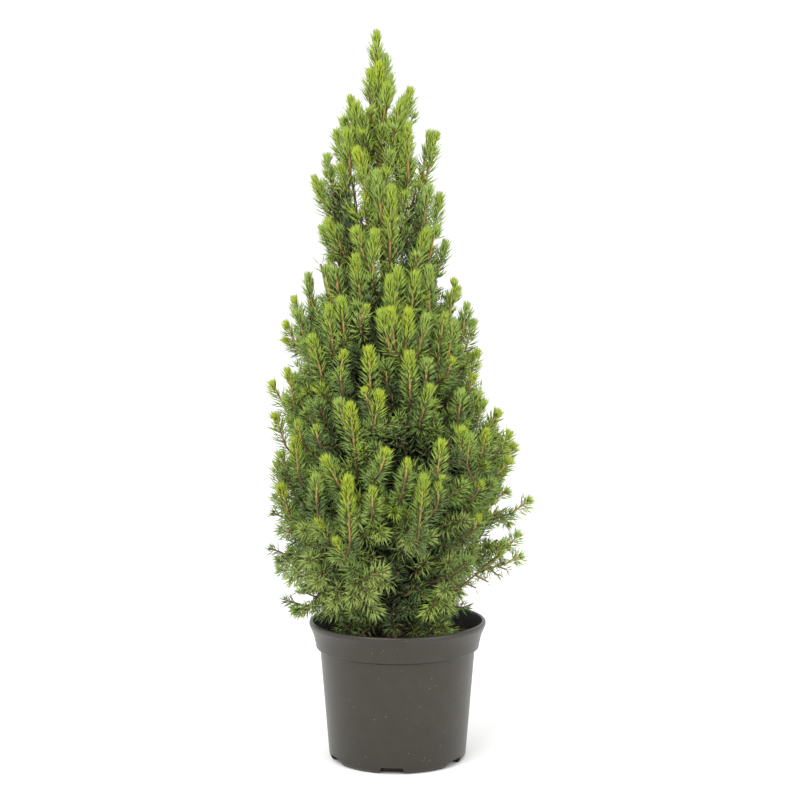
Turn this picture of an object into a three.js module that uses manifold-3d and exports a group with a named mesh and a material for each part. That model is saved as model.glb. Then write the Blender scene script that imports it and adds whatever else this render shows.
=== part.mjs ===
// A dwarf Alberta spruce in its nursery pot: pot, growing medium, trunk, boughs and masses of needled shoots.
// Millimetres, +Z up. The origin is the middle of the pot's flat underside, and -Y is the plant's front.
import * as THREE from "three";
import { mergeVertices } from "three/addons/utils/BufferGeometryUtils.js";
import Module from "manifold-3d";

const wasm = await Module();
wasm.setup();

// ---- Driving dimensions ----

const clearance = 0.3; // left between solids that touch

const pot = {
  height: 150,
  rimRadius: 95, // to the outside of the rolled lip
  lipHeight: 7,
  lipWidth: 5.5,
  collarTopRadius: 89.5,
  collarFootRadius: 86.8,
  collarFoot: 119,
  stepHeight: 2.4, // the slanted step from the collar in to the body
  bodyTopRadius: 83.4,
  bodyFootRadius: 74,
  cornerRadius: 8,
  wall: 1.6,
  floor: 1.8,
  sides: 32,
  slots: 6,
  slotTurn: -94.6, // degrees from +X to the front slot
  slotWidth: 27,
  slotTaper: 2, // how far each side of a slot leans in towards its top
  slotHeight: 6.5,
  slotDepth: 13, // how far a slot runs in under the floor
};

const soil = {
  level: 132,
  gap: 0.5, // to the pot's wall
  unevenness: 2.2,
  waves: [0.09, 0.11], // of the uneven top, in radians a millimetre along X and Y
  flatRadius: 20, // of the level spot under the trunk
  ringShares: [0.72, 0.46], // where the top's rings lie between the middle and the edge
};

// The trunk's line, from its cut on the growing medium to its tip under the leading shoot.
const trunkPoints = [
  [-5, 0, soil.level + clearance],
  [-6, 3, 240],
  [-11, -2, 420],
  [-17, 2, 590],
  [-21.5, 0, 714],
];
const trunk = { footRadius: 8, tipRadius: 1.7, flare: 3.5, flareHeight: 12, sides: 8, steps: 10 };

// The crown's outline from the front, which its shoots keep inside: height, left edge and right edge.
const crown = [
  [150, -104, 76],
  [190, -130, 106],
  [225, -138, 140],
  [275, -138, 146],
  [330, -136, 132],
  [410, -137, 98],
  [475, -119, 86],
  [557, -88, 58],
  [622, -88, 46],
  [700, -54, 20],
  [782, -30, -12],
];

// Each tier is a whorl of limbs. turn is the first limb's azimuth in degrees. A limb leaves the trunk at foot,
// its tip is reach from the trunk's line and rise above the foot, sag pulls its middle down and shift moves its
// tip towards +X. lift is how far its shoots turn up. Where a bare bough carries the mass, boughRadius is its
// radius at the trunk.
const tiers = {
  skirt: { count: 5, turn: 30, foot: 158, rise: 16, reach: 82, sag: 4, shift: -6, lift: 0.35, shoots: 5 },
  lower: { count: 6, turn: 0, foot: 190, rise: 42, reach: 112, sag: 8, shift: 12, lift: 0.5, shoots: 6 },
  middle: { count: 6, turn: 12, foot: 232, rise: 78, reach: 116, sag: 12, shift: 8, lift: 0.8, shoots: 6 },
  upper: { count: 5, turn: 22, foot: 296, rise: 86, reach: 108, sag: 16, shift: -10, lift: 1, shoots: 6 },
  shoulder: { count: 5, turn: 8, foot: 372, rise: 90, reach: 95, sag: 16, shift: -14, lift: 1.2, shoots: 6 },
  spire: { count: 4, turn: 40, foot: 450, rise: 84, reach: 72, sag: 12, shift: -12, lift: 1.4, shoots: 5 },
  crest: { count: 4, turn: 0, foot: 534, rise: 76, reach: 52, sag: 10, shift: -14, lift: 1.6, shoots: 5 },
  tip: { count: 4, turn: 20, foot: 616, rise: 64, reach: 36, sag: 6, shift: -1, lift: 1.8, shoots: 4 },
};
const boughRadius = { lower: 3.4, middle: 3.2, upper: 2.9 };
const leader = { name: "leader", height: 13, reach: 8, lift: 4, shoots: 3, seed: 7 };

const limbShape = {
  turnSpread: 16, // degrees from the even place in the whorl, from one end to the other
  footSpread: 14, // along the trunk
  reachSpread: 0.1,
  riseSpread: 0.12,
  bow: 0.2, // how far the middle swings outward, as a share of the reach
};
const bough = { end: 0.42, taper: 0.4, sides: 5, steps: 3 }; // its mass takes over at end, a share of the limb
const stem = { radius: 1.8, share: 0.6, tipRadius: 1, end: 0.74, sides: 4, steps: 2 };

// The dense inside of a mass. from, to and middle are shares of its limb, width is a share of the limb's reach.
const core = {
  from: 0.44,
  to: 0.94,
  middle: 0.74,
  width: 0.2,
  least: 5,
  spike: 12,
  spikeLift: 9, // how far the spikes turn up
  height: 1.35, // the stretch upright
  floor: pot.height + clearance,
};

const shoot = {
  length: 48, // of the part that carries needles
  lengthSpread: 0.15,
  feet: [0.5, 0.92], // the part of a limb that shoots grow on, as shares
  leadingFoot: 0.95,
  leadingSpread: 0.1,
  bare: 0.7, // of the core's width, before the needles begin
  spread: 0.8, // how far shoots lean out from their stem
  twigRadius: 2.2,
  footTaper: 0.7,
  tipTaper: 0.15, // how much slimmer the twig gets with each band of needles
  sides: 3,
  bands: 2,
  needled: 0.8, // the share of the length in bands, before the tip
  needleReach: 12,
  needleLean: 1.15, // how far a spray of needles points forward, in bands
  sizes: [1.3, 1.15, 1, 0.85, 0.7, 0.55, 0.45], // tried in turn until one fits
};
const goldenAngle = Math.PI * (3 - Math.sqrt(5));

// ---- Materials ----

const plastic = new THREE.MeshStandardMaterial({ color: 0x5a5751, roughness: 0.55, metalness: 0 });
const peat = new THREE.MeshStandardMaterial({ color: 0x2c251d, roughness: 1, metalness: 0 });
const bark = new THREE.MeshStandardMaterial({ color: 0x7a5034, roughness: 0.9, metalness: 0 });
const needles = new THREE.MeshStandardMaterial({ color: 0x6b8a33, roughness: 0.7, metalness: 0 });

// ---- Helpers ----

// Numbers from 0 to 1 that are the same on every run.
function seededNumbers(seed) {
  let state = Math.imul(seed + 1, 2654435761) >>> 0;
  return () => {
    state = (Math.imul(state, 1664525) + 1013904223) >>> 0;
    return state / 4294967296;
  };
}

function solidOf(geometry) {
  const bare = geometry.clone();
  bare.deleteAttribute("normal");
  bare.deleteAttribute("uv");
  const merged = mergeVertices(bare, 1e-3);
  return new wasm.Manifold(
    new wasm.Mesh({
      numProp: 3,
      vertProperties: merged.attributes.position.array,
      triVerts: new Uint32Array(merged.index.array),
    }),
  );
}

function geometryOf(solid) {
  const mesh = solid.getMesh();
  const geometry = new THREE.BufferGeometry();
  geometry.setAttribute("position", new THREE.BufferAttribute(mesh.vertProperties, 3));
  geometry.setIndex(new THREE.BufferAttribute(mesh.triVerts, 1));
  geometry.computeVertexNormals();
  return geometry;
}

function largestPiece(solid) {
  return solid.decompose().reduce((most, piece) => (piece.volume() > most.volume() ? piece : most));
}

function namedMesh(name, geometry, material) {
  const mesh = new THREE.Mesh(geometry, material);
  mesh.name = name;
  return mesh;
}

function closedGeometry(points, triangles) {
  const geometry = new THREE.BufferGeometry();
  geometry.setAttribute("position", new THREE.Float32BufferAttribute(points.flatMap((p) => p.toArray()), 3));
  geometry.setIndex(triangles.flat());
  return geometry;
}

// A tapering limb round a line, with a flat cut at each end. Level rings keep a trunk's cut horizontal.
function limb(pointAt, radiusAt, sides, steps, level = false) {
  const points = [];
  const triangles = [];
  const corner = (ring, side) => ring * sides + (side % sides);
  for (let ring = 0; ring <= steps; ring++) {
    const t = ring / steps;
    const along = level
      ? new THREE.Vector3(0, 0, 1)
      : pointAt(Math.min(1, t + 0.01)).sub(pointAt(Math.max(0, t - 0.01))).normalize();
    const across = new THREE.Vector3(0, 1, 0).cross(along).normalize();
    const up = along.clone().cross(across);
    for (let side = 0; side < sides; side++) {
      const angle = (2 * Math.PI * side) / sides;
      const spoke = across.clone().multiplyScalar(Math.cos(angle)).addScaledVector(up, Math.sin(angle));
      points.push(pointAt(t).addScaledVector(spoke, radiusAt(t)));
    }
  }
  for (let side = 0; side < sides; side++)
    for (let ring = 0; ring < steps; ring++)
      triangles.push(
        [corner(ring, side), corner(ring, side + 1), corner(ring + 1, side + 1)],
        [corner(ring, side), corner(ring + 1, side + 1), corner(ring + 1, side)],
      );
  for (let side = 1; side < sides - 1; side++)
    triangles.push(
      [corner(0, 0), corner(0, side + 1), corner(0, side)],
      [corner(steps, 0), corner(steps, side), corner(steps, side + 1)],
    );
  return closedGeometry(points, triangles);
}

// ---- Pot ----

// Part of a circle in the lathe's profile, from one angle to another in degrees.
function arc(x, y, radius, from, to, steps) {
  return Array.from({ length: steps + 1 }, (_, i) => {
    const angle = ((from + ((to - from) * i) / steps) * Math.PI) / 180;
    return [x + radius * Math.cos(angle), y + radius * Math.sin(angle)];
  });
}

function potProfile() {
  const lipMiddle = pot.height - pot.lipHeight / 2;
  const lipInside = pot.rimRadius - pot.lipWidth - pot.wall;
  const collarTop = pot.height - pot.lipHeight;
  return [
    [0, 0],
    ...arc(pot.bodyFootRadius - pot.cornerRadius, pot.cornerRadius, pot.cornerRadius, -90, 0, 3),
    [pot.bodyTopRadius, pot.collarFoot],
    [pot.collarFootRadius, pot.collarFoot + pot.stepHeight],
    [pot.collarTopRadius, collarTop],
    ...arc(pot.rimRadius - pot.lipHeight / 2, lipMiddle, pot.lipHeight / 2, -60, 90, 3),
    [lipInside + 1, pot.height],
    [lipInside, pot.height - 1],
    [pot.collarFootRadius - pot.wall, pot.collarFoot + pot.stepHeight],
    [pot.bodyTopRadius - pot.wall, pot.collarFoot],
    [pot.bodyFootRadius - pot.wall, pot.cornerRadius + pot.floor],
    [pot.bodyFootRadius - pot.cornerRadius, pot.floor],
    [0, pot.floor],
  ].map(([x, y]) => new THREE.Vector2(x, y));
}

// A lathe turns about Y, and the plant stands on +Z.
function turned(profile) {
  return new THREE.LatheGeometry(profile, pot.sides).rotateX(Math.PI / 2);
}

function drainSlot(index) {
  const half = pot.slotWidth / 2;
  const section = new THREE.Shape([
    new THREE.Vector2(-half, -1),
    new THREE.Vector2(half, -1),
    new THREE.Vector2(half - pot.slotTaper, pot.slotHeight),
    new THREE.Vector2(pot.slotTaper - half, pot.slotHeight),
  ]);
  const depth = pot.slotDepth + pot.cornerRadius;
  return new THREE.ExtrudeGeometry(section, { depth, bevelEnabled: false })
    .rotateX(Math.PI / 2)
    .rotateZ(Math.PI / 2)
    .translate(pot.bodyFootRadius - pot.slotDepth, 0, 0)
    .rotateZ((pot.slotTurn * Math.PI) / 180 + (2 * Math.PI * index) / pot.slots);
}

function potGeometry() {
  let shell = solidOf(turned(potProfile()));
  for (let index = 0; index < pot.slots; index++) shell = shell.subtract(solidOf(drainSlot(index)));
  return geometryOf(shell);
}

// The growing medium fills the pot up to its level, a little uneven and with a flat spot under the trunk.
function soilGeometry() {
  const gap = pot.wall + soil.gap;
  const slope = (pot.collarTopRadius - pot.collarFootRadius) / (pot.height - pot.lipHeight - pot.collarFoot);
  const edge = pot.collarFootRadius - gap + (soil.level - pot.collarFoot - pot.stepHeight) * slope * 0.5;
  const profile = [
    [0, pot.floor + clearance],
    [pot.bodyFootRadius - pot.cornerRadius - 1, pot.floor + clearance],
    [pot.bodyFootRadius - gap, pot.cornerRadius + pot.floor + 1],
    [pot.bodyTopRadius - gap, pot.collarFoot],
    [pot.collarFootRadius - gap, pot.collarFoot + pot.stepHeight + 0.6],
    [edge, soil.level - 1],
    ...soil.ringShares.map((share) => [edge * share, soil.level]),
    [soil.flatRadius, soil.level],
    [0, soil.level],
  ].map(([x, y]) => new THREE.Vector2(x, y));
  const geometry = turned(profile);
  const position = geometry.attributes.position;
  for (let i = 0; i < position.count; i++) {
    const [x, y, z] = [position.getX(i), position.getY(i), position.getZ(i)];
    const fromAxis = Math.hypot(x, y);
    if (z < soil.level - 2 || fromAxis < soil.flatRadius + 1) continue;
    position.setZ(i, z + soil.unevenness * Math.sin(x * soil.waves[0] + 1) * Math.cos(y * soil.waves[1]));
  }
  return geometry;
}

// ---- Trunk and limbs ----

const trunkLine = new THREE.CatmullRomCurve3(trunkPoints.map((p) => new THREE.Vector3(...p)));

function trunkRadius(t) {
  const height = t * (trunkPoints.at(-1)[2] - trunkPoints[0][2]);
  const taper = trunk.tipRadius + (trunk.footRadius - trunk.tipRadius) * (1 - t);
  return taper + trunk.flare * Math.exp(-height / trunk.flareHeight);
}

function trunkSolid(extra = 0) {
  const radiusAt = (t) => trunkRadius(t) + extra;
  return solidOf(limb((t) => trunkLine.getPointAt(t), radiusAt, trunk.sides, trunk.steps, true));
}

// The point of the trunk's line at a height above the ground.
function trunkAt(height) {
  let [low, high] = [0, 1];
  for (let i = 0; i < 24; i++) {
    const middle = (low + high) / 2;
    if (trunkLine.getPointAt(middle).z < height) low = middle;
    else high = middle;
  }
  return trunkLine.getPointAt(low);
}

// Every limb of a tier: its line from the trunk to its tip, and the frame in which its shoots stand.
function limbsOf([tierName, tier], tierIndex) {
  return Array.from({ length: tier.count }, (_, place) => {
    const number = seededNumbers(100 * (tierIndex + 1) + place);
    const vary = (spread) => 1 + spread * (2 * number() - 1);
    const degrees = tier.turn + (360 * place) / tier.count + limbShape.turnSpread * (number() - 0.5);
    const azimuth = (degrees * Math.PI) / 180;
    const outward = new THREE.Vector3(Math.cos(azimuth), Math.sin(azimuth), 0);
    const foot = trunkAt(tier.foot + limbShape.footSpread * (number() - 0.5));
    const reach = tier.reach * vary(limbShape.reachSpread);
    const rise = tier.rise * vary(limbShape.riseSpread);
    const tip = foot.clone().addScaledVector(outward, reach).add(new THREE.Vector3(tier.shift, 0, rise));
    const middle = foot.clone().lerp(tip, 0.5).addScaledVector(outward, limbShape.bow * reach);
    middle.z -= tier.sag;
    const line = new THREE.QuadraticBezierCurve3(foot, middle, tip);
    const name = tierName + "_" + (place + 1);
    return { ...tier, name, number, outward, reach, line, boughRadius: boughRadius[tierName] };
  });
}

// The bare part of a limb, from the trunk to where its mass begins. extra is the room kept clear round it.
function boughSolid(mass, extra = 0) {
  const radiusAt = (t) => mass.boughRadius * (1 - bough.taper * t) + extra;
  const end = bough.end + extra / mass.line.getLength();
  return solidOf(limb((t) => mass.line.getPointAt(end * t), radiusAt, bough.sides, bough.steps));
}

// ---- Foliage ----

// A shoot from its foot on a stem to its tip: a slim twig that pyramids of needles stand out of, row over row.
function needledShoot(foot, direction, bare, length, roll, size) {
  const along = direction.clone().normalize();
  const across = new THREE.Vector3(0, 1, 0).cross(along).normalize();
  const up = along.clone().cross(across);
  const { sides, bands } = shoot;
  const band = (shoot.needled * length) / bands;
  const step = (2 * Math.PI) / sides;
  const points = [];
  const triangles = [];
  const place = (distance, radius, turns) => {
    const angle = roll + turns * step;
    const spoke = across.clone().multiplyScalar(Math.cos(angle)).addScaledVector(up, Math.sin(angle));
    points.push(foot.clone().addScaledVector(along, distance).addScaledVector(spoke, radius));
    return points.length - 1;
  };
  const ringAt = (distance, radius, turn) => {
    const corners = Array.from({ length: sides }, (_, side) => place(distance, radius, side + turn));
    return (side) => corners[side % sides];
  };
  const twigRadius = shoot.twigRadius * size;
  const footRing = ringAt(0, twigRadius * shoot.footTaper, 0);
  let below = ringAt(bare, twigRadius, 0);
  for (let side = 0; side < sides; side++)
    triangles.push(
      [footRing(side), footRing(side + 1), below(side + 1)],
      [footRing(side), below(side + 1), below(side)],
    );
  for (let side = 1; side < sides - 1; side++)
    triangles.push([footRing(0), footRing(side + 1), footRing(side)]);
  for (let row = 0; row < bands; row++) {
    const turn = (row + 1) / 2;
    const above = ringAt(bare + band * (row + 1), twigRadius * (1 - shoot.tipTaper * (row + 1)), turn);
    const reach = shoot.needleReach * size * (1 - shoot.tipTaper * row);
    const tipDistance = bare + band * (row + shoot.needleLean);
    for (let side = 0; side < sides; side++) {
      const needleTip = place(tipDistance, reach, side + 0.5 + (turn + row / 2) / 2);
      const corners = [below(side), below(side + 1), above(side + 1), above(side)];
      corners.forEach((corner, i) => triangles.push([corner, corners[(i + 1) % 4], needleTip]));
    }
    below = above;
  }
  const tip = place(bare + length, 0, 0);
  for (let side = 0; side < sides; side++) triangles.push([below(side), below(side + 1), tip]);
  return { solid: solidOf(closedGeometry(points, triangles)), points };
}

// Whether a point lies inside the crown, which is as deep as it is wide.
function inCrown(point) {
  const above = crown.findIndex(([height]) => height > point.z);
  if (above < 1) return false;
  const [low, high] = [crown[above - 1], crown[above]];
  const t = (point.z - low[0]) / (high[0] - low[0]);
  const left = THREE.MathUtils.lerp(low[1], high[1], t);
  const right = THREE.MathUtils.lerp(low[2], high[2], t);
  return Math.hypot(point.x - (left + right) / 2, point.y) < (right - left) / 2;
}

// A mass keeps to the points that are nearer to its own middle than to any other's. Each wall of that space is
// the direction in from a neighbour and how far along it the space begins.
function wallsOf(mass, masses) {
  return masses
    .filter((other) => other !== mass)
    .map((other) => {
      const inward = mass.middle.clone().sub(other.middle).normalize();
      return { inward, from: inward.dot(mass.middle.clone().lerp(other.middle, 0.5)) + clearance / 2 };
    });
}

// The dense inside of a mass: a burr along the outer part of its limb, with a spike of needles on each face.
function coreBurr(mass, walls) {
  const from = mass.line.getPointAt(core.from);
  const along = mass.line.getPointAt(core.to).sub(from);
  const middle = from.addScaledVector(along, 0.5);
  const longAxis = new THREE.Vector3(0, 1, 0);
  const turn = new THREE.Quaternion().setFromUnitVectors(longAxis, along.clone().normalize());
  const width = core.width * mass.reach + core.least;
  const size = new THREE.Vector3(width, along.length() / 2 + core.least, width);
  const upright = new THREE.Vector3(1, 1, core.height);
  const place = (point, extra) => {
    const placed = point.clone().multiply(size).addScaledVector(point, extra);
    return placed.applyQuaternion(turn).multiply(upright).add(middle);
  };
  const ball = new THREE.IcosahedronGeometry(1, 0).attributes.position;
  const points = [];
  const triangles = [];
  for (let first = 0; first < ball.count; first += 3) {
    const corners = [0, 1, 2].map((i) => new THREE.Vector3().fromBufferAttribute(ball, first + i));
    const outward = corners[0].clone().add(corners[1]).add(corners[2]).normalize();
    const at = points.length;
    const spikeTip = place(outward, core.spike);
    spikeTip.z += core.spikeLift;
    points.push(...corners.map((corner) => place(corner, 0)), spikeTip);
    triangles.push([at, at + 1, at + 3], [at + 1, at + 2, at + 3], [at + 2, at, at + 3]);
  }
  let burr = solidOf(closedGeometry(points, triangles)).trimByPlane([0, 0, 1], core.floor);
  for (const wall of walls) burr = burr.trimByPlane(wall.inward.toArray(), wall.from);
  return { burr, width };
}

// The stem of a mass, from the trunk or from where its bough ends. extra is the room kept clear round it.
function stemSolid(mass, extra = 0) {
  const from = mass.boughRadius ? bough.end + clearance / mass.line.getLength() : 0;
  const footRadius = mass.boughRadius ? mass.boughRadius * stem.share : stem.radius;
  const pointAt = (t) => mass.line.getPointAt(from + (stem.end - from) * t);
  const radiusAt = (t) => footRadius + (stem.tipRadius - footRadius) * t + extra;
  return solidOf(limb(pointAt, radiusAt, stem.sides, stem.steps));
}

// A mass of foliage on one limb: its stem, its core and the shoots that stand out of them. A shoot fits where
// it keeps to the mass's own space and to the crown, and meets no limb, pot or growing medium.
function foliageSolid(mass, walls, limbsAround, obstacles) {
  const side = new THREE.Vector3(-mass.outward.y, mass.outward.x, 0);
  const { burr, width } = coreBurr(mass, walls);
  const pieces = [stemSolid(mass), burr.subtract(obstacles)];
  const firstRoll = 2 * Math.PI * mass.number();
  const keepsIn = (point) => inCrown(point) && walls.every((wall) => wall.inward.dot(point) > wall.from);
  for (let index = 0; index <= mass.shoots; index++) {
    const leading = index === mass.shoots;
    const [from, to] = shoot.feet;
    const t = leading ? shoot.leadingFoot : from + ((to - from) * (index + 0.5)) / mass.shoots;
    const roll = firstRoll + index * goldenAngle;
    const direction = mass.line.getTangentAt(t);
    const rise = direction.clone().cross(side);
    const radial = side.clone().multiplyScalar(Math.cos(roll)).addScaledVector(rise, Math.sin(roll));
    direction.addScaledVector(radial, leading ? shoot.leadingSpread : shoot.spread);
    direction.z += mass.lift;
    const length = shoot.length * (1 + shoot.lengthSpread * (2 * mass.number() - 1));
    for (const size of shoot.sizes) {
      const foot = mass.line.getPointAt(t);
      const made = needledShoot(foot, direction, shoot.bare * width, length * size, roll, size);
      if (!made.points.every(keepsIn)) continue;
      if (!made.solid.intersect(obstacles).isEmpty()) continue;
      pieces.push(made.solid);
      break;
    }
  }
  return largestPiece(wasm.Manifold.union(pieces).subtract(limbsAround));
}

// The leading shoots stand upright on the trunk's tip.
function leaderMass() {
  const foot = trunkLine.getPointAt(1).add(new THREE.Vector3(0, 0, clearance));
  const middle = foot.clone().add(new THREE.Vector3(0, 0, leader.height / 2));
  const tip = foot.clone().add(new THREE.Vector3(0, 0, leader.height));
  const line = new THREE.QuadraticBezierCurve3(foot, middle, tip);
  const outward = new THREE.Vector3(-1, 0, 0);
  return { ...leader, number: seededNumbers(leader.seed), outward, line };
}

// ---- The plant ----

const plant = new THREE.Group();
plant.add(namedMesh("pot", potGeometry(), plastic));
plant.add(namedMesh("soil", soilGeometry(), peat));
plant.add(namedMesh("trunk", geometryOf(trunkSolid()), bark));

const masses = [...Object.entries(tiers).flatMap(limbsOf), leaderMass()];
const trunkClear = trunkSolid(clearance);
const limbsClear = [trunkClear];
for (const mass of masses.filter((each) => each.boughRadius)) {
  const solid = largestPiece(boughSolid(mass).subtract(trunkClear));
  plant.add(namedMesh("bough_" + mass.name, geometryOf(solid), bark));
  limbsClear.push(boughSolid(mass, clearance));
}

for (const mass of masses) mass.middle = mass.line.getPointAt(core.middle);
const limbsAround = wasm.Manifold.union(limbsClear);
const potAndSoil = [solidOf(turned(potProfile())), solidOf(soilGeometry())];
for (const mass of masses) {
  const otherStems = masses.filter((other) => other !== mass).map((other) => stemSolid(other, clearance));
  const obstacles = wasm.Manifold.union([limbsAround, ...potAndSoil, ...otherStems]);
  const solid = foliageSolid(mass, wallsOf(mass, masses), limbsAround, obstacles);
  plant.add(namedMesh("foliage_" + mass.name, geometryOf(solid), needles));
}

export default plant;
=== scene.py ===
import math

import bmesh
import bpy
import numpy as np
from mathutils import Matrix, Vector, noise


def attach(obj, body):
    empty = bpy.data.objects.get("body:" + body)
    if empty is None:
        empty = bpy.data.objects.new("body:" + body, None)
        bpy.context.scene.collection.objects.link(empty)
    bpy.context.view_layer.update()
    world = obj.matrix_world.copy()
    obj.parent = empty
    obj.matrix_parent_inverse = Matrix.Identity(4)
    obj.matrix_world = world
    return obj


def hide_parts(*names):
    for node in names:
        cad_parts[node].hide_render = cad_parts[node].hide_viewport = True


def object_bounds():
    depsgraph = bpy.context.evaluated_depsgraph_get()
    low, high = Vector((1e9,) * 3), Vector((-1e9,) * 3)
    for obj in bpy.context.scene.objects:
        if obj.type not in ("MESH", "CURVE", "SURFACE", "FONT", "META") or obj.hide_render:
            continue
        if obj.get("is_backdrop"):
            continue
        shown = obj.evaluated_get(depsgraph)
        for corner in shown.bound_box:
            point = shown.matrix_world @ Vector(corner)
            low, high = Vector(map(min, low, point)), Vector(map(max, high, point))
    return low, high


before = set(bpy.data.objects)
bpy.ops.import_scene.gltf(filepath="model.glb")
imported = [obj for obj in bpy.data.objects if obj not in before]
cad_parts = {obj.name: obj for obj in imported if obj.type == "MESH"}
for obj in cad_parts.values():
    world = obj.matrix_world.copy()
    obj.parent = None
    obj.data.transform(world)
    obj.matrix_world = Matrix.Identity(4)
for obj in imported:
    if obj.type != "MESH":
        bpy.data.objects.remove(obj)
frame_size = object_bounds()

# --------------------------------------------------------------------------------------------------
# Pot: a round nursery pot, injection moulded from charcoal plastic with a fine matt grain. Its rolled lip
# stands over a collar that steps in to a tapering body. Drain slots are cut through the base's corner.
# --------------------------------------------------------------------------------------------------

MM = 0.001
pot_height = 150 * MM
lip_radius = 95 * MM
lip_height = 7 * MM
wall = 1.6 * MM
collar_top, collar_foot, collar_low = 89.6 * MM, 87.8 * MM, 119 * MM
body_top, body_foot = 83.4 * MM, 74 * MM
corner_radius = 6.5 * MM


def linear(colour):
    """An sRGB colour such as "5a5751" as linear red, green, blue and alpha."""
    parts = [int(colour[i : i + 2], 16) / 255 for i in (0, 2, 4)]
    return [p / 12.92 if p <= 0.04045 else ((p + 0.055) / 1.055) ** 2.4 for p in parts] + [1.0]


def add_node(tree, kind, inputs=None, **settings):
    """One node with its settings. Each input is given a value, or the output socket that feeds it."""
    node = tree.nodes.new(kind)
    for name, value in settings.items():
        setattr(node, name, value)
    for name, value in (inputs or {}).items():
        if isinstance(value, bpy.types.NodeSocket):
            tree.links.new(value, node.inputs[name])
        else:
            node.inputs[name].default_value = value
    return node


def plain_material(name, colour, roughness):
    """A material of one colour, and its shader node."""
    material = bpy.data.materials.new(name)
    material.use_nodes = True
    shader = material.node_tree.nodes["Principled BSDF"]
    shader.inputs["Base Color"].default_value = linear(colour)
    shader.inputs["Roughness"].default_value = roughness
    return material, shader


def mesh_object(name, points, faces, material):
    """A smooth-shaded mesh at the origin."""
    mesh = bpy.data.meshes.new(name)
    mesh.from_pydata([tuple(p) for p in points], [], [tuple(f) for f in faces])
    mesh.materials.append(material)
    mesh.shade_smooth()
    thing = bpy.data.objects.new(name, mesh)
    bpy.context.scene.collection.objects.link(thing)
    return thing


def rounded(centre, radius, start, end, steps):
    """Points of an arc in a profile of (distance from the axis, height), angles in degrees."""
    angles = np.radians(np.linspace(start, end, steps))
    return [(centre[0] + radius * math.cos(a), centre[1] + radius * math.sin(a)) for a in angles]


def turned(profile, sides):
    """Points and faces of a profile turned round the upright axis. A point on the axis stays one point."""
    points, rings = [], []
    for radius, height in profile:
        if radius < 1e-9:
            rings.append([len(points)] * sides)
            points.append((0, 0, height))
        else:
            rings.append(list(range(len(points), len(points) + sides)))
            points += [
                (radius * math.cos(a), radius * math.sin(a), height)
                for a in np.arange(sides) * (2 * math.pi / sides)
            ]
    faces = []
    for low, high in zip(rings, rings[1:]):
        for i in range(sides):
            j = (i + 1) % sides
            corners = [low[i], low[j], high[j], high[i]]
            faces.append(list(dict.fromkeys(corners)))
    return points, [f for f in faces if len(f) > 2]


lip_foot = pot_height - lip_height
lip_inside = lip_radius - 4.2 * MM
pot_profile = (
    [(0, 1.2 * MM), (46 * MM, 1.2 * MM), (48 * MM, 0)]
    + rounded((body_foot - corner_radius, corner_radius), corner_radius, -90, 0, 8)
    + [(body_top - 0.4 * MM, collar_low - 4 * MM), (body_top, collar_low)]
    + [(collar_foot - 0.5 * MM, collar_low + 1.9 * MM), (collar_foot, collar_low + 2.6 * MM)]
    + [(collar_foot + 0.2 * MM, collar_low + 5 * MM), (collar_top, 131 * MM)]
    + [(90.4 * MM, 135 * MM), (92.4 * MM, 139.5 * MM)]
    + rounded((lip_radius - 3 * MM, lip_foot + 3 * MM), 3 * MM, -40, -10, 4)
    + rounded((lip_radius - 2.6 * MM, pot_height - 2.6 * MM), 2.6 * MM, 10, 90, 6)
    + rounded((lip_inside + 1.5 * MM, pot_height - 1.5 * MM), 1.5 * MM, 90, 180, 5)
    + [(90.2 * MM, lip_foot), (collar_top - wall, 133 * MM), (collar_foot - wall, collar_low + 2 * MM)]
    + [(body_top - wall, collar_low - 1 * MM), (body_foot - wall, corner_radius + 2 * MM)]
    + rounded((body_foot - corner_radius, corner_radius + 1 * MM), corner_radius - wall, 0, -90, 5)
    + [(0, 3 * MM)]
)
plastic, plastic_shader = plain_material("moulded plastic", "2c2925", 0.36)
plastic_shader.inputs["Specular IOR Level"].default_value = 0.6
plastic_shader.inputs["Specular Tint"].default_value = linear("fff6e8")
points, faces = turned(pot_profile, sides=144)
pot = mesh_object("nursery_pot", points, faces, plastic)

# The drain slots are cut with one trapezoid per slot.
slot_count = 6
first_slot = -94.6  # degrees
cutter_mesh = bmesh.new()
for index in range(slot_count):
    turn = math.radians(first_slot + 360 / slot_count * index)
    along = Vector((math.cos(turn), math.sin(turn), 0))
    across = Vector((-math.sin(turn), math.cos(turn), 0))
    corners = []
    for distance in (61 * MM, 80 * MM):
        for half, height in ((-13.5, -1), (13.5, -1), (11.5, 7), (-11.5, 7)):
            corner = along * distance + across * half * MM + Vector((0, 0, height * MM))
            corners.append(cutter_mesh.verts.new(corner))
    for face in ((0, 3, 2, 1), (4, 5, 6, 7), (0, 1, 5, 4), (1, 2, 6, 5), (2, 3, 7, 6), (3, 0, 4, 7)):
        cutter_mesh.faces.new([corners[i] for i in face])
bmesh.ops.recalc_face_normals(cutter_mesh, faces=cutter_mesh.faces)
slots = mesh_object("slots", [], [], plastic)
cutter_mesh.to_mesh(slots.data)
cutter_mesh.free()
cut = pot.modifiers.new("slots", "BOOLEAN")
cut.object = slots
cut.operation = "DIFFERENCE"
cut.solver = "EXACT"


def made_plain(thing):
    """The object's mesh with its modifiers made real."""
    bpy.context.view_layer.update()
    evaluated = thing.evaluated_get(bpy.context.evaluated_depsgraph_get())
    mesh = bpy.data.meshes.new_from_object(evaluated)
    thing.modifiers.clear()
    thing.data = mesh
    return thing


made_plain(pot)
bpy.data.objects.remove(slots)
pot.data.set_sharp_from_angle(angle=math.radians(28))

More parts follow.
